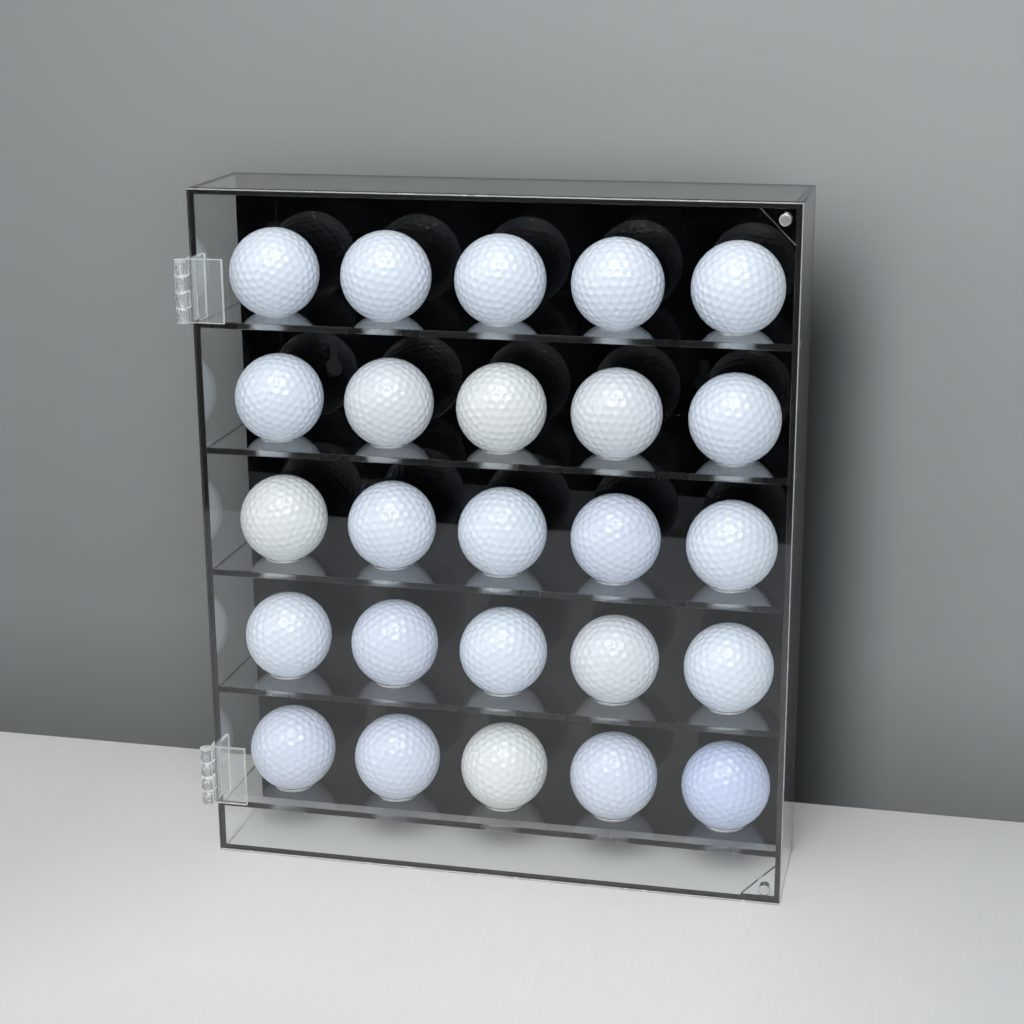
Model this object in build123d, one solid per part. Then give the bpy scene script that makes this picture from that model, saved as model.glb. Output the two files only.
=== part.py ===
from build123d import *
import math
import os

# A display case for golf balls: a clear acrylic box with a black back, drilled shelves and a door over the whole front.
# Each ball sits in a round hole in its shelf. The door turns on two small pin hinges at the left front edge and is held
# shut by two pairs of disc magnets at the right. Two keyhole slots in the back panel hang the case on wall screws.
#
# Millimetres, +Z up. The origin is the centre of the case's footprint, on the plane it stands on. The door faces -Y.
# Row 1 is the top shelf and column 1 is at the left, at -X.

# ------------------------------------------------------------------ driving sizes

ball_d = 42.67            # a golf ball of the size that the rules of the game set
rows = 5
columns = 5
ball_gap = 12.33          # free space between two balls on one shelf
depth_room = 13.0         # depth of a bay beyond one ball
headroom = 17.0           # from the top of a ball to the shelf above it
top_headroom = 18.5       # the same on the top shelf, up to the top panel
base_clear = 21.0         # height of the empty compartment under the lowest shelf

wall_t = 3.0              # side walls, top panel and bottom panel
shelf_t = 3.0
back_t = 3.0
door_t = 3.0
door_gap = 0.3            # between the shut door and the front edges of the box
door_trim = 0.3           # the door stops this far short of the box's top and bottom
hinge_side_gap = 0.4      # the door stops this far short of the left wall's outer face

seat_d = 19.0             # the hole in a shelf that a ball sits in
seat_clearance = 0.2      # how far a ball stands above where it would touch the rim

hinge_h = 30.0
knuckles = 4              # on one hinge, shared in turn by its two leaves
knuckle_gap = 0.3
barrel_d = 6.0
barrel_clearance = 0.1    # between a barrel and the two planes that the leaves are glued to
leaf_t = 2.0
leaf_reach = 19.5         # from the pin's axis to the free edge of a leaf
leaf_clearance = 0.6      # from a barrel to where a leaf's full-height plate starts
pin_d = 2.8
pin_play = 0.05           # radial, in the knuckles that turn

catch_leg = 16.0          # each short side of a triangular corner plate
catch_t = 3.0
catch_inset = 4.6         # from the two inner faces beside a corner plate to its magnet's axis
magnet_d = 5.0

keyhole_d = 9.0           # the round part, for a screw's head
keyhole_slot_w = 4.6      # the narrow part above it, for the screw's shank
keyhole_rise = 9.2        # from the round part's centre to the centre of the slot's round end
keyhole_span = 183.0      # between the two keyholes
keyhole_row = 2           # the shelf row that the keyholes open behind

# ------------------------------------------------------------------ sizes that follow

ball_r = ball_d / 2
bay_pitch = ball_d + ball_gap
inner_w = columns * bay_pitch
case_w = inner_w + 2 * wall_t
inner_depth = ball_d + depth_room
case_depth = door_t + door_gap + inner_depth + back_t

seat_rise = math.sqrt(ball_r**2 - (seat_d / 2) ** 2) + seat_clearance
bay_h = seat_rise + ball_r + headroom
top_bay_h = seat_rise + ball_r + top_headroom
shelf_pitch = bay_h + shelf_t
inner_h = base_clear + rows * shelf_t + (rows - 1) * bay_h + top_bay_h
case_h = inner_h + 2 * wall_t

x_in = inner_w / 2
x_out = case_w / 2
y_door_front = -case_depth / 2
y_door_back = y_door_front + door_t
y_box_front = y_door_back + door_gap
y_box_back = y_box_front + inner_depth
y_back = y_box_back + back_t
y_ball = (y_box_front + y_box_back) / 2
z_floor = wall_t
z_ceiling = wall_t + inner_h

axis_offset = barrel_d / 2 + barrel_clearance
hinge_x = -x_out - axis_offset
hinge_y = y_door_front - axis_offset

parts = {}


def shelf_top(row):
    """Height of the upper face of a shelf."""
    return z_floor + base_clear + shelf_t + (rows - row) * shelf_pitch


def column_x(column):
    """Middle of a column of balls."""
    return (column - (columns + 1) / 2) * bay_pitch


def block(x0, x1, y0, y1, z0, z1):
    """A rectangular block between two opposite corners."""
    middle = Pos((x0 + x1) / 2, (y0 + y1) / 2, (z0 + z1) / 2)
    return middle * Box(x1 - x0, y1 - y0, z1 - z0)


def rod_along_y(diameter, x, z, y0, y1):
    """A round rod or hole with its axis along Y."""
    return Pos(x, (y0 + y1) / 2, z) * Rot(90, 0, 0) * Cylinder(diameter / 2, y1 - y0)


# ------------------------------------------------------------------ the box

parts["left_wall"] = block(-x_out, -x_in, y_box_front, y_box_back, 0, case_h)
parts["right_wall"] = block(x_in, x_out, y_box_front, y_box_back, 0, case_h)
parts["bottom_panel"] = block(-x_in, x_in, y_box_front, y_box_back, 0, z_floor)
parts["top_panel"] = block(-x_in, x_in, y_box_front, y_box_back, z_ceiling, case_h)


def keyhole(x, z):
    """The hole for a screw's head with the slot above it for the shank."""
    head = rod_along_y(keyhole_d, x, z, y_box_back, y_back)
    slot_end = rod_along_y(keyhole_slot_w, x, z + keyhole_rise, y_box_back, y_back)
    half = keyhole_slot_w / 2
    slot = block(x - half, x + half, y_box_back, y_back, z, z + keyhole_rise)
    return head + slot + slot_end


back_panel = block(-x_out, x_out, y_box_back, y_back, 0, case_h)
keyhole_z = shelf_top(keyhole_row) + bay_h / 2
for side in (-1, 1):
    back_panel -= keyhole(side * keyhole_span / 2, keyhole_z)
parts["back_panel"] = back_panel


def shelf(row):
    """A shelf with one round seat for each ball."""
    top = shelf_top(row)
    plate = block(-x_in, x_in, y_box_front, y_box_back, top - shelf_t, top)
    for column in range(1, columns + 1):
        plate -= Pos(column_x(column), y_ball, top - shelf_t / 2) * Cylinder(seat_d / 2, shelf_t)
    return plate


for row in range(1, rows + 1):
    parts[f"shelf_{row}"] = shelf(row)

# ------------------------------------------------------------------ the magnetic catches

magnet_x = x_in - catch_inset


def catch_plate(corner_z, towards):
    """A triangular plate in a corner behind the door, drilled for its magnet. towards is +1 or -1 along Z."""
    outline = Polyline(
        (x_in, corner_z),
        (x_in - catch_leg, corner_z),
        (x_in, corner_z + towards * catch_leg),
        close=True,
    )
    face = Plane.XZ * make_face(outline)
    plate = Pos(0, y_box_front, 0) * extrude(face, amount=-catch_t)
    magnet_z = corner_z + towards * catch_inset
    return plate - rod_along_y(magnet_d, magnet_x, magnet_z, y_box_front, y_box_front + catch_t)


door = block(-x_out + hinge_side_gap, x_out, y_door_front, y_door_back, door_trim, case_h - door_trim)
for name, corner_z, towards in (("upper", z_ceiling, -1), ("lower", z_floor, 1)):
    magnet_z = corner_z + towards * catch_inset
    parts[f"catch_plate_{name}"] = catch_plate(corner_z, towards)
    parts[f"case_magnet_{name}"] = rod_along_y(
        magnet_d, magnet_x, magnet_z, y_box_front, y_box_front + catch_t
    )
    door_magnet = rod_along_y(magnet_d, magnet_x, magnet_z, y_door_front, y_door_back)
    parts[f"door_magnet_{name}"] = door_magnet
    door -= door_magnet
parts["door_panel"] = door

# ------------------------------------------------------------------ the hinges


def hinge_leaf(bore_d):
    """One moulded leaf about the pin's axis, with its glued face towards +Y and every second knuckle from the top."""
    plate_start = barrel_d / 2 + leaf_clearance
    back = axis_offset - leaf_t
    leaf = block(plate_start, leaf_reach, back, axis_offset, -hinge_h / 2, hinge_h / 2)
    knuckle_h = hinge_h / knuckles
    for step in range(0, knuckles, 2):
        high = hinge_h / 2 - step * knuckle_h - knuckle_gap / 2
        low = high - knuckle_h + knuckle_gap
        leaf += block(0, plate_start, back, axis_offset, low, high)
        leaf += Pos(0, 0, (low + high) / 2) * Cylinder(barrel_d / 2, high - low)
    return leaf - Cylinder(bore_d / 2, hinge_h)


swap_x_and_y = Axis((0, 0, 0), (1, 1, 0))    # half a turn about it lays a leaf against the wall, the other way up
for name, row in (("upper", 1), ("lower", rows)):
    place = Pos(hinge_x, hinge_y, shelf_top(row) + hinge_h / 2)
    parts[f"hinge_{name}_door_leaf"] = place * hinge_leaf(pin_d + 2 * pin_play)
    parts[f"hinge_{name}_wall_leaf"] = place * hinge_leaf(pin_d).rotate(swap_x_and_y, 180)
    parts[f"hinge_{name}_pin"] = place * Cylinder(pin_d / 2, hinge_h)

# ------------------------------------------------------------------ the balls

for row in range(1, rows + 1):
    for column in range(1, columns + 1):
        seat = Pos(column_x(column), y_ball, shelf_top(row) + seat_rise)
        parts[f"golf_ball_r{row}_c{column}"] = seat * Sphere(ball_r)

# ------------------------------------------------------------------ files

os.makedirs("parts", exist_ok=True)
for name, solid in parts.items():
    solid.label = name
    export_step(solid, f"parts/{name}.step")

print(f"{len(parts)} nodes, case {case_w:.2f} x {case_depth:.2f} x {case_h:.2f} mm")
print(f"box front y {y_box_front:.3f}, box back y {y_box_back:.3f}, ball centre y {y_ball:.3f}")
print(f"shelf tops {[round(shelf_top(row), 3) for row in range(1, rows + 1)]}")
print(f"seat rise {seat_rise:.3f}, bay height {bay_h:.3f}, free lift over a ball {headroom:.2f}")
print(f"hinge axis x {hinge_x:.3f} y {hinge_y:.3f}, keyholes z {keyhole_z:.3f} spaced {keyhole_span:.1f}")
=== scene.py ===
import math
import random

import bmesh
import bpy
import numpy as np
from mathutils import Matrix, Quaternion, Vector
from mathutils.geometry import tessellate_polygon


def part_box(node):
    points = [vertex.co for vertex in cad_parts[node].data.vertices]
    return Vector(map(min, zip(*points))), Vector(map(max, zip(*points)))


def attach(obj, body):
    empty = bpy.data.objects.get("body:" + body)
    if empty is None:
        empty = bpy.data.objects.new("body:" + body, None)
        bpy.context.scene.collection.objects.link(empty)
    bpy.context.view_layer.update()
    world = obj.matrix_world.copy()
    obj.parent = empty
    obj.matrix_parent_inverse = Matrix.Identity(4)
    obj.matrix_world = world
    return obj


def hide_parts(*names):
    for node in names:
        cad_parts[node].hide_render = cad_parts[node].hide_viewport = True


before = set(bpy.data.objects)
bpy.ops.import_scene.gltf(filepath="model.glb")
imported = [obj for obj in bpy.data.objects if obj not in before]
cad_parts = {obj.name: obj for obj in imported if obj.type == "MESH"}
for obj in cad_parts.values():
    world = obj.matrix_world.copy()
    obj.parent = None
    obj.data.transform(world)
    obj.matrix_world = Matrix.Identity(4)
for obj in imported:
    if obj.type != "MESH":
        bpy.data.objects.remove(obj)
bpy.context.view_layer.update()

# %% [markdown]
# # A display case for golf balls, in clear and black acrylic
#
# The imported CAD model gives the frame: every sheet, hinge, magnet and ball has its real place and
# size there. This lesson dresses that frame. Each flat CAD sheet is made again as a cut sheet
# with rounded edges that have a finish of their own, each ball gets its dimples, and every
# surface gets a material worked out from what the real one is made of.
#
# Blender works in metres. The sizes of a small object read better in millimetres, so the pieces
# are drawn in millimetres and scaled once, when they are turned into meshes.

MM = 0.001
scene = bpy.context.scene


def measured(node):
    """A CAD node's lowest and highest corner, in millimetres."""
    low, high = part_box(node)
    return Vector(low) / MM, Vector(high) / MM


case_left = measured("left_wall")[0].x
case_right, case_top = measured("right_wall")[1].xz
case_rear = measured("back_panel")[1].y
print(f"the box is {case_right - case_left:.1f} mm wide and {case_top:.1f} mm high")

# %% [markdown]
# ## The camera
#
# A product picture of a case like this is taken from a little above and from one side, so that
# the top and one side wall show and the shelves can be seen from above. The camera stands about
# 0.96 m away, 13 degrees to the right of the front, and looks down by 16 degrees. A 70 mm lens on
# a 36 mm sensor keeps the upright edges nearly parallel. An object that looks along a direction
# is turned most simply with to_track_quat, and the small roll is added about the line of sight.

# %% Camera
lens = bpy.data.cameras.new("camera")
lens.sensor_width = 36.0
lens.lens = 70.55
camera = bpy.data.objects.new("camera", lens)
scene.collection.objects.link(camera)
camera_at = Vector((214.7, -894.3, 446.8))
looks_at = Vector((4.6, 0.0, 177.3))
sight = looks_at - camera_at
roll = Quaternion(sight, math.radians(0.39))
camera.rotation_mode = "QUATERNION"
camera.rotation_quaternion = roll @ sight.to_track_quat("-Z", "Y")
camera.location = camera_at * MM
scene.camera = camera
print(f"the camera looks from {sight.length:.0f} mm away")

# %% [markdown]
# ## Colours and nodes
#
# A colour picked from a screen is written as six hexadecimal digits in sRGB, which is a curve
# made for screens. A shader works with amounts of light, so one function straightens that curve.
#
# A second small function adds a shader node. Its own settings are keywords, and each input is a
# plain value, the output of another node, or that node itself where its first output is meant.
# An input goes by its name. Some nodes have several inputs of one name, and those go by their
# numbers, such as the colour inputs of a Mix node, which has number inputs of the same names.

# %% Colour and node helpers
COLOUR_A, COLOUR_B, COLOUR_OUT = 6, 7, 2     # a Mix node's colour sockets


def linear(hex_code):
    """An sRGB colour such as "#c8d0d4" as linear red, green, blue and alpha."""
    shares = [int(hex_code[i : i + 2], 16) / 255 for i in (1, 3, 5)]
    light = [c / 12.92 if c <= 0.04045 else ((c + 0.055) / 1.055) ** 2.4 for c in shares]
    return (*light, 1.0)


def add(tree, kind, inputs=None, **settings):
    """Adds a node with its settings, and gives each input its value or its link."""
    made = tree.nodes.new("ShaderNode" + kind)
    for name, value in settings.items():
        setattr(made, name, value)
    for name, value in (inputs or {}).items():
        if isinstance(value, bpy.types.Node):
            value = value.outputs[0]
        if isinstance(value, bpy.types.NodeSocket):
            tree.links.new(value, made.inputs[name])
        else:
            made.inputs[name].default_value = value
    return made


def new_material(name):
    """An empty material with nodes, and its node tree."""
    material = bpy.data.materials.new(name)
    material.use_nodes = True
    material.node_tree.nodes.clear()
    return material, material.node_tree


print("white is", linear("#ffffff"), "and mid grey is", linear("#808080"))

# %% [markdown]
# ## The table
#
# The case stands on a pale table with a grey backdrop close behind it. Both matter for the look
# of clear plastic, which has hardly a colour of its own: it shows what is behind it and mirrors
# what is in front.
#
# The table is a matt white laminate with a faint grain, drawn as long streaks 2 mm apart and
# 40 mm long. Large soft lamps light such a set very evenly, and a real one is never so even. So
# a painted shade is drawn into the table's colour with MapRange nodes, which turn a distance in
# metres into a share: the table is painted a darker, cooler grey to the sides and towards the
# front.

# %% Table material
table_paint, tree = new_material("table_matt_white_laminate")
at = add(tree, "TexCoord").outputs["Object"]
across, along = 1 / (2 * MM), 1 / (40 * MM)
streaks = add(
    tree,
    "Mapping",
    {"Vector": at, "Rotation": (0, 0, 0.35), "Scale": (across, along, across)},
)
grain = add(tree, "TexNoise", {"Vector": streaks, "Scale": 1.0, "Detail": 3.0})
cloud = add(tree, "TexNoise", {"Vector": at, "Scale": 6.0, "Detail": 2.0})
streaky = add(tree, "Math", {0: grain, 1: cloud}, operation="MULTIPLY")
tone = add(
    tree,
    "Mix",
    {"Factor": streaky, COLOUR_A: linear("#e6e7e6"), COLOUR_B: linear("#f2f2f1")},
    data_type="RGBA",
)
where = add(tree, "SeparateXYZ", {"Vector": at})
sideways = add(tree, "Math", {0: where.outputs["X"]}, operation="ABSOLUTE")
at_sides = add(
    tree,
    "MapRange",
    {"Value": sideways, "From Min": 0.12, "From Max": 0.24, "To Min": 0.0, "To Max": 0.26},
)
at_front = add(
    tree,
    "MapRange",
    {
        "Value": where.outputs["Y"],
        "From Min": -0.14,
        "From Max": -0.52,
        "To Min": 0.0,
        "To Max": 0.8,
    },
)
# Painted shade: the table is painted towards the darker, cooler grey #a2a9b2 at its sides and its
# front, where the lamps' light would fall off.
painted_table_shade = add(tree, "Math", {0: at_sides, 1: at_front}, operation="MAXIMUM")
tone = add(
    tree,
    "Mix",
    {"Factor": painted_table_shade, COLOUR_A: tone.outputs[COLOUR_OUT], COLOUR_B: linear("#a2a9b2")},
    data_type="RGBA",
)
bump = add(tree, "Bump", {"Height": grain, "Strength": 0.35, "Distance": 0.4 * MM})
shader = add(
    tree,
    "BsdfPrincipled",
    {"Base Color": tone.outputs[COLOUR_OUT], "Roughness": 0.62, "Normal": bump, "IOR": 1.5},
)
add(tree, "OutputMaterial", {"Surface": shader})
print(f"{table_paint.name}: {len(tree.nodes)} nodes")

# %% [markdown]
# ## The backdrop
#
# The backdrop is a grey cloth, hung flat, with threads 1.4 mm apart. Shade is painted into its
# colour too: it is painted darker low down, to the left and at its foot, and a painted shadow of
# the case lies close beside the case.
#
# It is only there from its front: the Backfacing output turns its rear side transparent, so that
# the case can also be looked at from behind.

# %% Backdrop material
backdrop_cloth, tree = new_material("backdrop_grey_cloth")
at = add(tree, "TexCoord").outputs["Object"]
weave = add(tree, "TexNoise", {"Vector": at, "Scale": 700.0, "Detail": 2.0})
cloud = add(tree, "TexNoise", {"Vector": at, "Scale": 3.0, "Detail": 2.0})
where = add(tree, "SeparateXYZ", {"Vector": at})
# Painted shade: the cloth runs from the darker grey #7b7f80 low down to the lighter #8a8e8f higher
# up, with a faint random cloud on top.
height = add(
    tree,
    "MapRange",
    {"Value": where.outputs["Z"], "From Min": 0.0, "From Max": 0.36, "To Min": 0.0, "To Max": 0.94},
)
cloud_and_painted_height_shade = add(tree, "Math", {0: cloud, 1: 0.06, 2: height}, operation="MULTIPLY_ADD")
tone = add(
    tree,
    "Mix",
    {"Factor": cloud_and_painted_height_shade, COLOUR_A: linear("#7b7f80"), COLOUR_B: linear("#8a8e8f")},
    data_type="RGBA",
)
# Painted shade: the cloth is scaled darker to the left and lighter to the right, and darker at its
# foot.
painted_shade_across = add(
    tree,
    "MapRange",
    {
        "Value": where.outputs["X"],
        "From Min": -0.28,
        "From Max": 0.06,
        "To Min": 0.89,
        "To Max": 1.18,
    },
)
foot = add(
    tree,
    "MapRange",
    {"Value": where.outputs["Z"], "From Min": 0.0, "From Max": 0.08, "To Min": 0.66, "To Max": 1.0},
)
level = add(tree, "Math", {0: painted_shade_across, 1: foot}, operation="MULTIPLY")
tone = add(
    tree,
    "VectorMath",
    {0: tone.outputs[COLOUR_OUT], "Scale": level},
    operation="SCALE",
)

# %% The case's shadow, painted on the backdrop
# Painted shadow: beside the case and below its top, the cloth is painted towards the near black
# #272b2d, where the case's soft shadow would lie.
sideways = add(tree, "Math", {0: where.outputs["X"], 1: 0.005}, operation="SUBTRACT")
off_centre = add(tree, "Math", {0: sideways}, operation="ABSOLUTE")
beside = add(
    tree,
    "MapRange",
    {"Value": off_centre, "From Min": 0.125, "From Max": 0.184, "To Min": 1.0, "To Max": 0.0},
    interpolation_type="SMOOTHSTEP",
)
low_enough = add(
    tree,
    "MapRange",
    {"Value": where.outputs["Z"], "From Min": 0.24, "From Max": 0.34, "To Min": 1.0, "To Max": 0.0},
    interpolation_type="SMOOTHSTEP",
)
shade = add(tree, "Math", {0: beside, 1: low_enough}, operation="MULTIPLY")
tone = add(
    tree,
    "Mix",
    {"Factor": shade, COLOUR_A: tone.outputs[0], COLOUR_B: linear("#272b2d")},
    data_type="RGBA",
)
bump = add(tree, "Bump", {"Height": weave, "Strength": 0.1, "Distance": 0.3 * MM})
cloth = add(
    tree,
    "BsdfPrincipled",
    {"Base Color": tone.outputs[COLOUR_OUT], "Roughness": 0.8, "Normal": bump, "IOR": 1.45},
)
gone = add(tree, "BsdfTransparent")
rear_side = add(tree, "NewGeometry").outputs["Backfacing"]
either = add(tree, "MixShader", {0: rear_side, 1: cloth, 2: gone})
add(tree, "OutputMaterial", {"Surface": either})
print(f"{backdrop_cloth.name}: {len(tree.nodes)} nodes")

# %% [markdown]
# ## Where the table and the backdrop stand
#
# The table reaches 0.6 m forward. The black back panel mirrors it in the lower rows and mirrors
# the dark room beyond it in the upper rows, so the table ends where that change is seen. It lies
# 0.15 mm below the case, because two faces in exactly the same place would flicker.

# %% Stage pieces
table_front, backdrop_y, backdrop_top = -0.607, 0.0885, 1.5
reach = 1.6                 # how far both go to the sides, and the table to the back
table_z = -0.15 * MM


def stage_plane(name, corners, material):
    """A flat piece of the stage between four corners, in metres, facing by the right-hand rule."""
    mesh = bpy.data.meshes.new(name)
    mesh.from_pydata(corners, [], [(0, 1, 2, 3)])
    mesh.materials.append(material)
    plane = bpy.data.objects.new(name, mesh)
    scene.collection.objects.link(plane)


stage_plane(
    "table",
    [
        (-reach, table_front, table_z),
        (reach, table_front, table_z),
        (reach, reach, table_z),
        (-reach, reach, table_z),
    ],
    table_paint,
)
stage_plane(
    "backdrop",
    [
        (-reach, backdrop_y, table_z),
        (reach, backdrop_y, table_z),
        (reach, backdrop_y, backdrop_top),
        (-reach, backdrop_y, backdrop_top),
    ],
    backdrop_cloth,
)
print(f"the backdrop stands {backdrop_y / MM - case_rear:.0f} mm behind the case")

# %% [markdown]
# ## The light of the room
#
# The room itself gives a dim light, mostly from behind, and is nearly dark low down in front,
# because that is what the door and the black panel mirror. The camera sees a plain grey instead
# of the room, through Light Path's Is Camera Ray. Clear plastic has to show the same grey, or an
# open door would look black from behind, so Is Transmission Ray is added, for rays that nothing
# has mirrored or scattered on their way.

# %% Room light
world = bpy.data.worlds.new("studio_room")
world.use_nodes = True
scene.world = world
tree = world.node_tree
tree.nodes.clear()
direction = add(tree, "SeparateXYZ", {"Vector": add(tree, "TexCoord").outputs["Generated"]})
from_behind = add(
    tree,
    "MapRange",
    {
        "Value": direction.outputs["Y"],
        "From Min": 0.0,
        "From Max": 0.3,
        "To Min": 0.03,
        "To Max": 0.45,
    },
)
in_front = add(
    tree,
    "MapRange",
    {
        "Value": direction.outputs["Y"],
        "From Min": -0.1,
        "From Max": -0.45,
        "To Min": 0.0,
        "To Max": 1.0,
    },
)
low_down = add(
    tree,
    "MapRange",
    {
        "Value": direction.outputs["Z"],
        "From Min": 0.42,
        "From Max": 0.15,
        "To Min": 0.0,
        "To Max": 1.0,
    },
)
dark_part = add(tree, "Math", {0: in_front, 1: low_down}, operation="MULTIPLY")
strength = add(tree, "Mix", {"Factor": dark_part, "A": from_behind, "B": 0.004})
room = add(tree, "Background", {"Color": linear("#f2f5f8"), "Strength": strength})
plain = add(tree, "Background", {"Color": linear("#a9adaf"), "Strength": 1.0})

# %% What the camera sees of the room
ray = add(tree, "LightPath").outputs
bounces = add(
    tree,
    "Math",
    {0: ray["Glossy Depth"], 1: ray["Diffuse Depth"]},
    operation="ADD",
)
straight = add(tree, "Math", {0: bounces, 1: 0.5}, operation="LESS_THAN")
through = add(tree, "Math", {0: ray["Is Transmission Ray"], 1: straight}, operation="MULTIPLY")
seen = add(tree, "Math", {0: ray["Is Camera Ray"], 1: through}, operation="MAXIMUM")
both = add(tree, "MixShader", {0: seen, 1: room, 2: plain})
add(tree, "OutputWorld", {"Surface": both})
print(f"{world.name}: {len(tree.nodes)} nodes")

# %% [markdown]
# ## Lamps
#
# Four softboxes light the case. The key stands above the front and gives the broad highlight on
# each ball. A lower one to the right lights the undersides of the balls, one to the left does the
# same for that side and for the backdrop, and one hangs overhead. The door is a large mirror: a
# lamp straight in front of it would show as a pale rectangle across the balls, so the front stays
# free of lamps.
#
# The lamp at the right is hidden from mirrors and from what is seen through plastic. The black
# panel and the left wall meet in a corner that would show it as a pale patch.

# %% Softboxes
AIMED_AT = Vector((0, 0, 0.17))     # the middle of the case


def softbox(name, azimuth, elevation, distance, width, height, watts, mirrored=True):
    """A rectangular lamp aimed at the case, its angles in degrees and its sizes in metres.

    Azimuth 0 is in front and turns to the right. Elevation is above the horizon.
    """
    a, e = math.radians(azimuth), math.radians(elevation)
    away = Vector((math.sin(a) * math.cos(e), -math.cos(a) * math.cos(e), math.sin(e)))
    light = bpy.data.lights.new(name, "AREA")
    light.shape = "RECTANGLE"
    light.size, light.size_y = width, height
    light.energy = watts
    lamp = bpy.data.objects.new(name, light)
    lamp.location = AIMED_AT + away * distance
    lamp.rotation_mode = "QUATERNION"
    lamp.rotation_quaternion = away.to_track_quat("Z", "Y")
    lamp.visible_camera = False
    lamp.visible_glossy = lamp.visible_transmission = mirrored
    scene.collection.objects.link(lamp)
    print(f"{name}: {watts} W over {width} x {height} m")


softbox("key_softbox", 8, 52, 1.0, 0.6, 0.5, 5.8)
softbox("fill_softbox", 34, 7, 1.6, 1.1, 0.85, 10.8, mirrored=False)
softbox("left_softbox", -56, 20, 1.4, 1.0, 1.0, 7.2)
softbox("overhead_softbox", 5, 74, 1.3, 0.8, 0.8, 3.2)

# %% [markdown]
# ## Clear acrylic
#
# Cast acrylic sheet lets 92% of the light through; the rest is mirrored by its two faces. How
# much a face mirrors follows from the index of refraction. That of acrylic is 1.49, and the
# sheets start from it, but the mirror images in this case are fainter than that gives, so 1.44 is
# used. A Principled shader with full transmission on a closed sheet does the bending and
# mirroring by itself. Wiping leaves very fine marks, drawn out four times as long one way as the
# other, which show as a slightly uneven roughness.
#
# Light from a lamp does not find its way through bending glass in a path tracer, so the shadow of
# clear plastic would be black. The Light Path node swaps in a Transparent shader for shadow rays
# and for rays that leave a matt surface. It takes a little over 1% of the light at each face.

# %% A clear plastic
SHEET_IOR, MOULDED_IOR = 1.44, 1.49
DRAWN_OUT = 0.25                          # how much slower the marks change along their length
FACE_TINT = (0.985, 0.988, 0.988, 1)      # the light that a face lets through, in shadow rays


def clear_plastic(name, tint, ior, smoothest, roughest, mark_mm, clear=1.0):
    """Clear plastic, its wipe marks mark_mm apart. clear is the share of it that isn't milky."""
    material, tree = new_material(name)
    at = add(tree, "TexCoord").outputs["Object"]
    apart = mark_mm * MM
    wiped = add(
        tree,
        "Mapping",
        {"Vector": at, "Scale": (1 / apart, DRAWN_OUT / apart, DRAWN_OUT / apart)},
    )
    marks = add(tree, "TexNoise", {"Vector": wiped, "Scale": 1.0, "Detail": 4.0, "Roughness": 0.6})
    rough = add(
        tree,
        "MapRange",
        {
            "Value": marks,
            "From Min": 0.35,
            "From Max": 0.75,
            "To Min": smoothest,
            "To Max": roughest,
        },
    )
    body = add(
        tree,
        "BsdfPrincipled",
        {"Base Color": linear(tint), "Roughness": rough, "IOR": ior, "Transmission Weight": clear},
    )
    through = add(tree, "BsdfTransparent", {"Color": FACE_TINT})
    ray = add(tree, "LightPath").outputs
    for_lamps = add(tree, "MixShader", {0: ray["Is Shadow Ray"], 1: body, 2: through})
    for_matt = add(tree, "MixShader", {0: ray["Is Diffuse Ray"], 1: for_lamps, 2: through})
    add(tree, "OutputMaterial", {"Surface": for_matt})
    print(f"{name}: {clear:.1%} clear, marks {mark_mm} mm apart")
    return material


sheet_acrylic = clear_plastic("cast_acrylic_clear_polished", "#feffff", SHEET_IOR, 0.0, 0.01, 18)

# %% [markdown]
# ## Its edges, and the moulded hinges
#
# The edges of a sheet are cut, and each is finished as far as it needs to be. Light runs along
# inside a sheet and leaves by its edges, so they look bright or dark, depending on what their far
# end touches. Buffed edges stay nearly clear, and sanded ones blur what is seen through them. The
# door's satin ones are milky, because only 55% of their light goes straight through. The cutter
# leaves the walls of a hole rough, with marks 4 mm apart.
#
# A path tracer gives up on light that has been mirrored many times inside a sheet, and a little
# milkiness also brings that light back. The hinges are moulded, so they keep the index of 1.49,
# and they are a little milky all through, with satin edges.

# %% Edge and hinge finishes
edge_acrylic = clear_plastic(
    "cast_acrylic_edge_buffed", "#fafcfc", SHEET_IOR, 0.04, 0.12, 12, clear=0.985
)
shelf_edge_acrylic = clear_plastic(
    "cast_acrylic_edge_sanded", "#fafcfc", SHEET_IOR, 0.26, 0.34, 12
)
door_edge_acrylic = clear_plastic(
    "cast_acrylic_edge_satin", "#fafcfc", SHEET_IOR, 0.2, 0.34, 18, clear=0.55
)
milled_acrylic = clear_plastic(
    "cast_acrylic_milled_satin", "#f6f8f8", SHEET_IOR, 0.36, 0.46, 4, clear=0.97
)
hinge_acrylic = clear_plastic(
    "moulded_acrylic_clear", "#f8fafa", MOULDED_IOR, 0.01, 0.05, 4, clear=0.94
)
hinge_edge = clear_plastic(
    "moulded_acrylic_edge_satin", "#f8fbfb", MOULDED_IOR, 0.3, 0.5, 0.8, clear=0.6
)

# %% [markdown]
# ## Black acrylic
#
# The back panel is the same plastic, dyed black right through. Nothing shows through it, and a
# polished face of acrylic mirrors about 4% of what is in front of it, more at a shallow angle.
# Here, too, the mirror images are fainter, and an index of 1.42 gives 3%. So it is a black base
# with a smooth surface, and the dust and wipe marks that black plastic always shows are drawn in
# the roughness and as a very faint lift of the black. A mark is 25 mm long and 6 mm wide.

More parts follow.
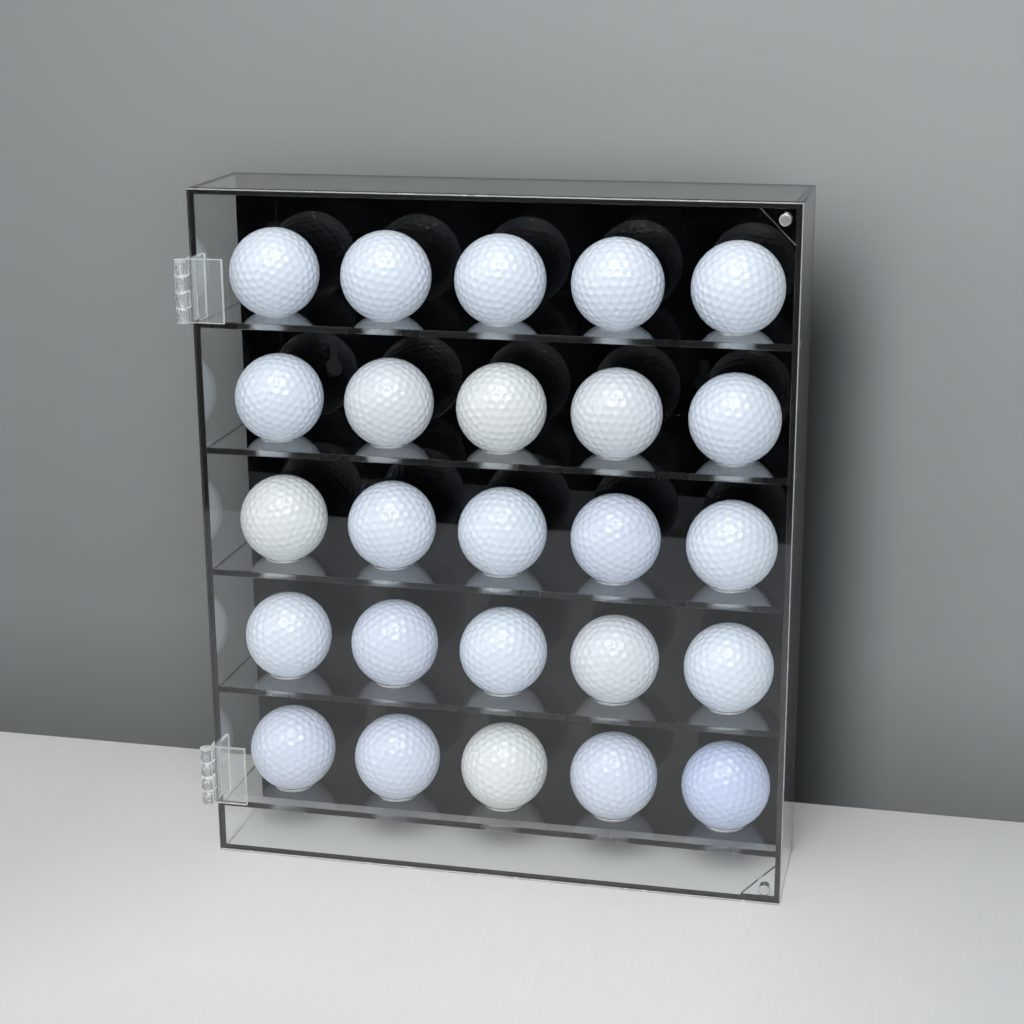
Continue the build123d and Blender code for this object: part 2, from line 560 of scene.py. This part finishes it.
# %% Black acrylic material
black_acrylic, tree = new_material("cast_acrylic_black_polished")
at = add(tree, "TexCoord").outputs["Object"]
long, wide = 1 / (25 * MM), 1 / (6.25 * MM)
wiped = add(tree, "Mapping", {"Vector": at, "Rotation": (0, 0.5, 0), "Scale": (long, long, wide)})
marks = add(tree, "TexNoise", {"Vector": wiped, "Scale": 1.0, "Detail": 5.0, "Roughness": 0.6})
rough = add(
    tree,
    "MapRange",
    {"Value": marks, "From Min": 0.3, "From Max": 0.75, "To Min": 0.008, "To Max": 0.03},
)
dust = add(
    tree,
    "MapRange",
    {"Value": marks, "From Min": 0.55, "From Max": 0.8, "To Min": 0.0, "To Max": 1.0},
)
tone = add(
    tree,
    "Mix",
    {"Factor": dust, COLOUR_A: linear("#030304"), COLOUR_B: linear("#08090a")},
    data_type="RGBA",
)
shader = add(
    tree,
    "BsdfPrincipled",
    {"Base Color": tone.outputs[COLOUR_OUT], "Roughness": rough, "IOR": 1.42},
)
add(tree, "OutputMaterial", {"Surface": shader})
print(f"{black_acrylic.name}: {len(tree.nodes)} nodes")

# %% [markdown]
# ## Nickel plating
#
# The disc magnets of the catches are sintered neodymium, tumbled and then plated with nickel.
# Nickel is a slightly warm grey metal. Tumbling leaves the plating satin rather than mirror
# bright, so the roughness is about a half, with a fine grain of 0.3 mm.

# %% Nickel material
nickel, tree = new_material("nickel_plated_satin")
at = add(tree, "TexCoord").outputs["Object"]
grain = add(tree, "TexNoise", {"Vector": at, "Scale": 1 / (0.3 * MM), "Detail": 3.0})
rough = add(
    tree,
    "MapRange",
    {"Value": grain, "From Min": 0.3, "From Max": 0.7, "To Min": 0.42, "To Max": 0.55},
)
bump = add(tree, "Bump", {"Height": grain, "Strength": 0.15, "Distance": 0.03 * MM})
shader = add(
    tree,
    "BsdfPrincipled",
    {"Base Color": linear("#dfdedb"), "Metallic": 1.0, "Roughness": rough, "Normal": bump},
)
add(tree, "OutputMaterial", {"Surface": shader})
print(f"{nickel.name}: {len(tree.nodes)} nodes")

# %% [markdown]
# ## The cover of a golf ball
#
# A golf ball has a cast urethane cover, painted white and sealed with a clear gloss coat. Under
# cool light it looks faintly blue, and old balls turn cream. The colour comes from each object's
# own colour, through the Object Info node, so one material serves all the balls. A coat over a
# rougher base gives the small bright glint in each dimple. The paint is mottled very faintly,
# in patches 11 mm across, and has an orange peel of 0.8 mm. Played balls carry faint scuffs, 6 mm
# across, which take some of the gloss away and grey the paint a little.

# %% Golf ball cover material
ball_cover, tree = new_material("urethane_cover_gloss_coated")
at = add(tree, "TexCoord").outputs["Object"]
own = add(tree, "ObjectInfo").outputs
shift = add(tree, "VectorMath", {0: at, 1: own["Random"]}, operation="ADD")
mottle = add(tree, "TexNoise", {"Vector": shift, "Scale": 90.0, "Detail": 3.0})
patches = add(
    tree, "TexNoise", {"Vector": shift, "Scale": 160.0, "Detail": 6.0, "Roughness": 0.7}
)
scuff = add(
    tree,
    "MapRange",
    {"Value": patches, "From Min": 0.66, "From Max": 0.74, "To Min": 0.0, "To Max": 1.0},
)
faded = add(
    tree,
    "MapRange",
    {"Value": mottle, "From Min": 0.3, "From Max": 0.7, "To Min": 0.97, "To Max": 1.0},
)
paint = add(tree, "VectorMath", {0: own["Color"], 1: faded}, operation="MULTIPLY")
tone = add(
    tree,
    "Mix",
    {"Factor": scuff, COLOUR_A: paint.outputs[0], COLOUR_B: linear("#c3c6c4")},
    data_type="RGBA",
)
rough = add(
    tree,
    "MapRange",
    {"Value": scuff, "From Min": 0.0, "From Max": 1.0, "To Min": 0.3, "To Max": 0.55},
)
orange_peel = add(tree, "TexNoise", {"Vector": at, "Scale": 1200.0, "Detail": 2.0})
bump = add(tree, "Bump", {"Height": orange_peel, "Strength": 0.08, "Distance": 0.05 * MM})
shader = add(
    tree,
    "BsdfPrincipled",
    {
        "Base Color": tone.outputs[COLOUR_OUT],
        "Roughness": rough,
        "Normal": bump,
        "IOR": 1.5,
        "Coat Weight": 0.6,
        "Coat Roughness": 0.08,
    },
)
add(tree, "OutputMaterial", {"Surface": shader})
print(f"{ball_cover.name}: {len(tree.nodes)} nodes")

# %% [markdown]
# ## Cutting a sheet
#
# All the flat pieces are cut from sheet: an outline, some holes, a thickness, and a fine rounding
# along every edge, where the sharp corner has been taken off. Blender's Bevel modifier could
# round a box, but not a sheet with holes made from one n-gon, so the sheet is built from rings.
# Each ring is the outline, moved inwards by as much as the rounding takes away there. Flat faces
# stay flat shaded, so that what is seen through them is not bent, and the roundings are smooth
# shaded.

# %% Outlines
def rectangle(u0, u1, v0, v1):
    """Four corners, counter-clockwise."""
    return [Vector((u0, v0)), Vector((u1, v0)), Vector((u1, v1)), Vector((u0, v1))]


def arc(u, v, radius, start, end, points):
    """Points round a centre, from one angle to another in degrees."""
    turns = [math.radians(start + (end - start) * i / (points - 1)) for i in range(points)]
    return [Vector((u + radius * math.cos(t), v + radius * math.sin(t))) for t in turns]


def circle(u, v, radius, points=64):
    """A closed ring of points, counter-clockwise."""
    return arc(u, v, radius, 0, 360 - 360 / points, points)


def moved_in(loop, distance):
    """A closed loop moved to its left, towards the material, with mitred corners."""
    moved = []
    for before, here, after in zip(loop[-1:] + loop[:-1], loop, loop[1:] + loop[:1]):
        along, onward = (here - before).normalized(), (after - here).normalized()
        left = Vector((-along.y - onward.y, along.x + onward.x))
        moved.append(here + left * (2 * distance / left.length_squared))
    return moved


square = moved_in(rectangle(0, 4, 0, 4), 1)
print("a square of 4 mm, moved in by 1 mm, has its first corner at", tuple(square[0]))

# %% From a bmesh to an object
def finished(name, bm):
    """Turns a bmesh drawn in millimetres into an object in metres."""
    mesh = bpy.data.meshes.new(name)
    bmesh.ops.scale(bm, vec=(MM, MM, MM), verts=bm.verts)
    bm.to_mesh(mesh)
    bm.free()
    made = bpy.data.objects.new(name, mesh)
    scene.collection.objects.link(made)
    return made


def dress(piece, node, body, slot, *materials):
    """Puts its finishes on a piece that stands for a CAD node and moves with its body."""
    for material in materials:
        piece.data.materials.append(material)
    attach(piece, body)
    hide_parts(node)


# %% The sheet cutter
LIES = (0, 1, 2)     # outline in x and y, thickness in z: a shelf
STANDS = (0, 2, 1)   # outline in x and z, thickness in y: the door and the back
FLANKS = (1, 2, 0)   # outline in y and z, thickness in x: a side wall
ROUND = 8            # a loop with more corners than this is a curve
ROUNDING = 0.25      # of a sheet's edges, unless the piece says otherwise
TINY = 1e-9


def cut_sheet(name, outline, holes, low, high, lie, rounding=ROUNDING, steps=3, finishes=None):
    """A closed sheet with rounded edges: its outline and holes between two heights, in mm.

    finishes maps a side of the outline, by its number, or "holes" to the number of the piece's
    material that it gets. All the rest gets the first material.
    """
    finishes = finishes or {}
    loops = [outline] + [hole[::-1] for hole in holes]
    turns = [math.pi / 2 * i / steps for i in range(steps + 1)]
    levels = [(rounding * (1 - math.sin(t)), low + rounding * (1 - math.cos(t))) for t in turns]
    levels += [(inset, low + high - height) for inset, height in reversed(levels)]
    bm = bmesh.new()
    rings = []
    for inset, height in levels:
        ring = []
        for loop in loops:
            flat = moved_in(loop, inset) if inset > TINY else loop
            points = [(p.x, p.y, height) for p in flat]
            placed = [[point[lie.index(axis)] for axis in range(3)] for point in points]
            ring.append([bm.verts.new(point) for point in placed])
        rings.append(ring)
    for step, (lower, upper) in enumerate(zip(rings, rings[1:])):
        for number, (below, above) in enumerate(zip(lower, upper)):
            for i in range(len(below)):
                j = (i + 1) % len(below)
                face = bm.faces.new((below[i], below[j], above[j], above[i]))
                face.smooth = step != steps or len(below) > ROUND
                face.material_index = finishes.get("holes" if number else i, 0)
    for ring in (rings[0], rings[-1]):
        corners = [vertex for loop in ring for vertex in loop]
        for triangle in tessellate_polygon([[v.co[:] for v in loop] for loop in ring]):
            bm.faces.new([corners[c] for c in triangle])
    bmesh.ops.recalc_face_normals(bm, faces=bm.faces)
    return finished(name, bm)


print(f"a sheet's edges are rounded by {ROUNDING} mm")

# %% [markdown]
# ## The box
#
# The two side walls stand the full height, and the top, the bottom and the shelves are glued
# between them. Their open edges are buffed. Solvent makes the plastic of both pieces run
# together, so there is no air in a joint and nothing to see. Two closed meshes that touch face to
# face would flicker, and a gap would mirror. So each glued end goes a tenth of a millimetre into
# its neighbour: the light bends on entering one sheet and bends back on leaving the other, and
# goes on as if there were no joint.
#
# The sides of a rectangle are numbered from 0, counter-clockwise from its lowest one.

# %% Walls, top and bottom
BOND = 0.1

for node in ("left_wall", "right_wall"):
    low, high = measured(node)
    outline = rectangle(low.y, high.y + BOND, low.z, high.z)
    open_edges = {0: 1, 2: 1, 3: 1}
    wall = cut_sheet(node + "_sheet", outline, [], low.x, high.x, FLANKS, finishes=open_edges)
    dress(wall, node, "case", "clear_acrylic", sheet_acrylic, edge_acrylic)

for node in ("top_panel", "bottom_panel"):
    low, high = measured(node)
    outline = rectangle(low.x - BOND, high.x + BOND, low.y, high.y + BOND)
    panel = cut_sheet(node + "_sheet", outline, [], low.z, high.z, LIES, finishes={0: 1})
    dress(panel, node, "case", "clear_acrylic", sheet_acrylic, edge_acrylic)
print(f"the sheets are {high.z - low.z:.1f} mm thick")

# %% [markdown]
# ## The shelves
#
# Each shelf has five round holes, 19 mm across, that the balls sit in. The cutter leaves the
# walls of the holes satin, and the front edge of a shelf is only sanded. Both blur what is seen
# through them, so that each ball shows in the edge below it as a soft pale patch.

# %% Shelves
SEAT_RADIUS, SEAT_POINTS = 9.5, 96
rows, columns = 5, 5


def ball_centre(row, column):
    """The middle of a ball, in millimetres."""
    low, high = measured(f"golf_ball_r{row}_c{column}")
    return (low + high) / 2


for row in range(1, rows + 1):
    node = f"shelf_{row}"
    low, high = measured(node)
    centres = [ball_centre(row, column) for column in range(1, columns + 1)]
    seats = [circle(c.x, c.y, SEAT_RADIUS, SEAT_POINTS) for c in centres]
    outline = rectangle(low.x - BOND, high.x + BOND, low.y, high.y + BOND)
    cuts = {0: 1, "holes": 2}
    shelf = cut_sheet(node + "_sheet", outline, seats, low.z, high.z, LIES, finishes=cuts)
    dress(shelf, node, "case", "clear_acrylic", sheet_acrylic, shelf_edge_acrylic, milled_acrylic)
print(f"{rows} shelves, with the balls {centres[1].x - centres[0].x:.1f} mm apart")

# %% [markdown]
# ## The black back
#
# The back panel covers the whole rear of the box. Two keyholes are cut through it: a screw's head
# goes in at the round part, and the case then slides down until the narrow slot hangs on the
# screw's shank. A keyhole's outline is the large arc below and the small arc of the slot's end
# above.

# %% Back panel
KEYHOLE_RADIUS, SLOT_RADIUS, KEYHOLE_RISE, KEYHOLE_SPAN = 4.5, 2.3, 9.2, 183.0
shelf_low, shelf_high = measured("shelf_2")[1].z, measured("shelf_1")[0].z
keyhole_z = (shelf_low + shelf_high) / 2
corner = math.degrees(math.asin(SLOT_RADIUS / KEYHOLE_RADIUS))


def keyhole(x, z):
    """A round hole with a narrow round-ended slot above it, counter-clockwise."""
    round_part = arc(x, z, KEYHOLE_RADIUS, 90 + corner, 450 - corner, 60)
    slot_end = arc(x, z + KEYHOLE_RISE, SLOT_RADIUS, 0, 180, 25)
    return round_part + slot_end


low, high = measured("back_panel")
outline = rectangle(low.x, high.x, low.z, high.z)
keyholes = [keyhole(side * KEYHOLE_SPAN / 2, keyhole_z) for side in (-1, 1)]
back = cut_sheet("back_panel_sheet", outline, keyholes, low.y, high.y, STANDS, rounding=0.2)
dress(back, "back_panel", "case", "black_acrylic", black_acrylic)
print(f"the keyholes are {keyhole_z:.0f} mm above the table")

# %% [markdown]
# ## The door
#
# The door is one clear sheet over the whole front. Its edges are satin, and stand out as a thin
# pale line, apart from the one on the hinge side, which is buffed and shows the dark inside of
# the joint. Near its right edge it is drilled for two magnets. The holes leave a gap of less than
# a tenth of a millimetre round the magnets, as on the real one, where a drop of glue fills it.

# %% Door
MAGNET_RADIUS, GLUE = 2.5, 0.06
door_low, door_high = measured("door_panel")
magnets = {name: measured(f"door_magnet_{name}") for name in ("upper", "lower")}
magnet_at = {name: (low + high) / 2 for name, (low, high) in magnets.items()}
outline = rectangle(door_low.x, door_high.x, door_low.z, door_high.z)
holes = [circle(at.x, at.z, MAGNET_RADIUS + GLUE) for at in magnet_at.values()]
edges = {0: 1, 1: 1, 2: 1, 3: 2}
door = cut_sheet("door_sheet", outline, holes, door_low.y, door_high.y, STANDS, finishes=edges)
dress(door, "door_panel", "door", "clear_acrylic", sheet_acrylic, door_edge_acrylic, edge_acrylic)
print(f"the door is {door_high.x - door_low.x:.1f} x {door_high.z - door_low.z:.1f} mm")

# %% [markdown]
# ## The magnetic catches
#
# A triangular offcut of clear sheet is glued into each right-hand corner behind the door and
# drilled for a magnet that meets the one in the door. Its slanted edge is buffed. A disc magnet
# has tumbled, rounded edges, so its rounding is larger than a sheet's.

# %% A corner plate
def corner_plate(name, towards):
    """The plate in a corner: towards is +1 where it rises from its corner, -1 where it hangs."""
    node = f"catch_plate_{name}"
    low, high = measured(node)
    wall_x = high.x + BOND
    corner_z = (high.z + BOND) if towards < 0 else (low.z - BOND)
    leg = high.x - low.x
    triangle = [
        Vector((wall_x, corner_z)),
        Vector((wall_x, corner_z + towards * (leg + BOND))),
        Vector((wall_x - leg - BOND, corner_z)),
    ]
    slanted = {1: 1}
    if towards < 0:
        triangle.reverse()
        slanted = {0: 1}
    at = magnet_at[name]
    hole = circle(at.x, at.z, MAGNET_RADIUS + GLUE)
    plate = cut_sheet(
        node + "_sheet",
        triangle,
        [hole],
        low.y,
        high.y,
        STANDS,
        rounding=0.15,
        finishes=slanted,
    )
    dress(plate, node, "case", "clear_acrylic", sheet_acrylic, edge_acrylic)
    print(f"{node}: legs of {leg:.0f} mm")


# %% Plates and magnets
PLAY = 0.01          # how much smaller a disc's radius is than its nominal one

for name, towards in (("upper", -1), ("lower", 1)):
    corner_plate(name, towards)
    rim = circle(magnet_at[name].x, magnet_at[name].z, MAGNET_RADIUS - PLAY)
    for body in ("case", "door"):
        node = f"{body}_magnet_{name}"
        low, high = measured(node)
        disc = cut_sheet(node + "_disc", rim, [], low.y, high.y, STANDS, rounding=0.4)
        dress(disc, node, body, "nickel_plated_magnet", nickel)
print(f"two pairs of magnets, {2 * MAGNET_RADIUS:.1f} mm across")

# %% [markdown]
# ## The hinges
#
# Each hinge is two clear moulded leaves that share a pin. A leaf is a flat plate with every
# second knuckle of the barrel, and the web of each knuckle runs out of the plate and round the
# pin. Plate and knuckles are made as sheets, because a knuckle is only a teardrop outline with a
# thickness, and a Boolean modifier joins them into one closed mesh. Left as separate meshes they
# would show a line inside the clear plastic where the real one is solid.
#
# The faces of a leaf are clear, and its ends and its free edge are satin, as they come from the
# mould. The top knuckle is closed above the pin.

# %% Joining solids
def joined(name, base, others, operation="UNION"):
    """One mesh from closed solids, by Blender's exact Boolean."""
    for other in others:
        boolean = base.modifiers.new("with_" + other.name, "BOOLEAN")
        boolean.operation, boolean.solver, boolean.object = operation, "EXACT", other
    bpy.context.view_layer.update()
    shaped = base.evaluated_get(bpy.context.evaluated_depsgraph_get())
    whole = bpy.data.meshes.new_from_object(shaped)
    base.modifiers.clear()
    base.data, base.name = whole, name
    for other in others:
        bpy.data.objects.remove(other)
    return base


# %% A hinge leaf
BARREL, LEAF_T, LEAF_REACH, PLATE_START = 3.0, 2.0, 19.5, 3.6
PIN_RADIUS, PIN_PLAY, PIN_POINTS = 1.4, 0.05, 48
GLUED = 3.1          # from the pin's axis to the face that the leaf is glued to
LEAF_BOND = 0.04     # how far the leaf goes into what it is glued to
KNUCKLES, KNUCKLE_GAP = 4, 0.3
CAP = 1.1            # the plastic over the pin in a closed knuckle
PAST = 1             # how far a bore is cut past a knuckle's ends
MOULDED = {"rounding": 0.18, "steps": 2}
hinge_low, hinge_high = measured("hinge_upper_pin")
hinge_height = hinge_high.z - hinge_low.z


def teardrop(inner, outer):
    """A knuckle's outline: round the barrel, then along its web to the plate and back."""
    leaves_at = 360 + math.degrees(math.asin(inner / BARREL)) - 6
    web = ((3.3, inner), (5.0, inner), (5.0, outer), (0.9, outer))
    return arc(0, 0, BARREL, 94, leaves_at, 44) + [Vector(point) for point in web]


def hinge_leaf(name, closed_top):
    """A leaf about the pin's axis with every second knuckle, from the top.

    Its plate goes towards +x and its glued face towards +y.
    """
    half, inner, outer = hinge_height / 2, GLUED - LEAF_T, GLUED + LEAF_BOND
    flat = rectangle(PLATE_START, LEAF_REACH, -half, half)
    plate = cut_sheet(name, flat, [], inner, outer, STANDS, **MOULDED)
    drop = teardrop(inner, outer)
    bore = circle(0, 0, PIN_RADIUS + PIN_PLAY, PIN_POINTS)
    pitch = hinge_height / KNUCKLES
    knuckles, bores = [], []
    for step in range(0, KNUCKLES, 2):
        top = half - step * pitch - KNUCKLE_GAP / 2
        bottom = top - pitch + KNUCKLE_GAP
        knuckle_name, bore_name = f"{name}_knuckle_{step}", f"{name}_bore_{step}"
        knuckles.append(cut_sheet(knuckle_name, drop, [], bottom, top, LIES, **MOULDED))
        end = top - CAP if closed_top and step == 0 else top + PAST
        bores.append(cut_sheet(bore_name, bore, [], bottom - PAST, end, LIES, steps=2))
    leaf = joined(name, plate, knuckles)
    return joined(name, leaf, bores, "DIFFERENCE")


print(f"each hinge is {hinge_height:.0f} mm high with {KNUCKLES} knuckles")

# %% The two hinges
PIN_FOOT, PIN_HEAD = 0.1, 1.4     # how far the pin stops short of the hinge's two ends
EDGE_BAND = 0.3                   # what counts as a leaf's free edge
as_drawn = Matrix.Identity(4)
# half a turn: the plate goes towards +y, and the leaf stands upside down
swapped = Matrix(((0, 1, 0, 0), (1, 0, 0, 0), (0, 0, -1, 0), (0, 0, 0, 1)))

for which in ("upper", "lower"):
    low, high = measured(f"hinge_{which}_pin")
    middle = (low + high) / 2
    place = Matrix.Translation(middle * MM)
    for leaf_name, body, turn in (("door_leaf", "door", as_drawn), ("wall_leaf", "case", swapped)):
        leaf = hinge_leaf(f"hinge_{which}_{leaf_name}_moulding", leaf_name == "door_leaf")
        for face in leaf.data.polygons:
            at_an_end = abs(face.normal.z) > 0.3
            at_free_edge = face.center.x > (LEAF_REACH - EDGE_BAND) * MM
            face.material_index = int(at_an_end or at_free_edge)
        leaf.data.transform(place @ turn)
        node = f"hinge_{which}_{leaf_name}"
        dress(leaf, node, body, "clear_hinge_plastic", hinge_acrylic, hinge_edge)
    rod = circle(middle.x, middle.y, PIN_RADIUS, PIN_POINTS)
    foot, head = low.z + PIN_FOOT, high.z - PIN_HEAD
    pin = cut_sheet(f"hinge_{which}_pin_rod", rod, [], foot, head, LIES, rounding=0.5)
    dress(pin, f"hinge_{which}_pin", "case", "clear_hinge_plastic", hinge_acrylic)
print(f"the pins are {head - foot:.1f} mm long")

# %% [markdown]
# ## A golf ball's dimples
#
# Most golf balls carry 300 to 400 shallow round dimples, laid out on a solid of twenty triangles
# and almost touching. Here each edge of that solid is divided into six, which gives 362 dimples
# about 4.1 mm apart. A point between the corners of a triangle is placed with sines instead of
# straight shares, which keeps the spacing even on the sphere. Every vertex of a fine icosphere
# then looks for its nearest dimple and sinks by the depth of a shallow bowl, 0.38 mm at its
# middle. That is a little deeper than on a real ball, so that the dimples still read from a metre
# away. The shape is real geometry, so it shows in the outline as well as in the shading.

# %% Dimple layout
DIVISIONS = 6
EDGE_ANGLE = math.atan(2)      # between neighbouring corners of the solid, from its middle


def dimple_centres():
    """Unit vectors to the centres of the dimples, from an icosahedron with its edges divided."""
    bm = bmesh.new()
    bmesh.ops.create_icosphere(bm, subdivisions=1, radius=1.0)
    found = {}
    for face in bm.faces:
        a, b, c = (v.co.normalized() for v in face.verts)
        for i in range(DIVISIONS + 1):
            for j in range(DIVISIONS + 1 - i):
                shares = (i, j, DIVISIONS - i - j)
                weights = [math.sin(EDGE_ANGLE * share / DIVISIONS) for share in shares]
                point = (a * weights[0] + b * weights[1] + c * weights[2]).normalized()
                found[tuple(round(x, 4) for x in point)] = point
    bm.free()
    return np.array([tuple(p) for p in found.values()])


centres = dimple_centres()
cosines = centres @ centres.T
np.fill_diagonal(cosines, -1.0)
spacing = np.arccos(cosines.max(axis=1))     # the angle from each dimple to its nearest one
print(f"{len(centres)} dimples")

# %% Dimpled ball mesh
FINENESS = 7            # the icosphere's subdivisions, which give it 81920 faces
DIMPLE_DEPTH = 0.38
BOWL_SHARE = 0.475      # a bowl's radius as a share of the spacing: a half would touch
BOWL_CURVE = 1.2        # above 1, the bowl meets the ball's surface more softly


def dimpled_ball(name, radius):
    """A ball with shallow round dimples, in millimetres, turned into a mesh in metres."""
    bm = bmesh.new()
    bmesh.ops.create_icosphere(bm, subdivisions=FINENESS, radius=radius)
    points = np.array([v.co[:] for v in bm.verts])
    points /= np.linalg.norm(points, axis=1, keepdims=True)
    nearness = points @ centres.T
    nearest = nearness.argmax(axis=1)
    angle = np.arccos(np.clip(nearness.max(axis=1), -1, 1))
    share = angle / (spacing * BOWL_SHARE)[nearest]
    sunk = DIMPLE_DEPTH * np.clip(1 - share**2, 0, None) ** BOWL_CURVE
    for vertex, point, dip in zip(bm.verts, points, sunk):
        vertex.co = point * (radius - dip)
    for face in bm.faces:
        face.smooth = True
    ball = finished(name, bm)
    mesh = ball.data
    bpy.data.objects.remove(ball)
    mesh.materials.append(ball_cover)
    return mesh


ball_low, ball_high = measured("golf_ball_r1_c1")
ball_radius = (ball_high.x - ball_low.x) / 2
ball_mesh = dimpled_ball("dimpled_ball", ball_radius)
print(f"dimples {spacing.mean() * ball_radius:.2f} mm apart, {len(ball_mesh.polygons)} faces")

# %% [markdown]
# ## The balls on their shelves
#
# A collection is never all of one white. Most of these are a cool white, some are bluer or more
# neutral, three have yellowed, and one is lavender. Each ball lies as it was put down, so each is
# turned at random, from a seeded generator that gives the same result every time.

# %% Balls
COOL, BLUISH, NEUTRAL, CREAM, LAVENDER = "#dae3f0", "#d2daeb", "#dadee6", "#dee2e3", "#c3d0ed"
tints = dict.fromkeys([(2, 2), (2, 4), (4, 4)], NEUTRAL)
tints |= dict.fromkeys([(3, 4), (4, 2), (5, 1), (5, 2), (5, 4)], BLUISH)
tints |= dict.fromkeys([(2, 3), (3, 1), (5, 3)], CREAM)
tints[5, 5] = LAVENDER
chance = random.Random(18)
for row in range(1, rows + 1):
    for column in range(1, columns + 1):
        node = f"golf_ball_r{row}_c{column}"
        ball = bpy.data.objects.new(node + "_dimpled", ball_mesh)
        scene.collection.objects.link(ball)
        ball.location = ball_centre(row, column) * MM
        ball.rotation_mode = "QUATERNION"
        axis = Vector((chance.gauss(0, 1), chance.gauss(0, 1), chance.gauss(0, 1)))
        ball.rotation_quaternion = Quaternion(axis, chance.uniform(0, 2 * math.pi))
        ball.color = linear(tints.get((row, column), COOL))
        dress(ball, node, f"ball_r{row}_c{column}", "golf_ball_cover")
print(f"{rows * columns} balls, {2 * ball_radius:.2f} mm across")

# %% [markdown]
# ## The view transform
#
# The view transform is set to Standard, so that a colour renders as it is written.

# %% Finish
scene.view_settings.view_transform = "Standard"
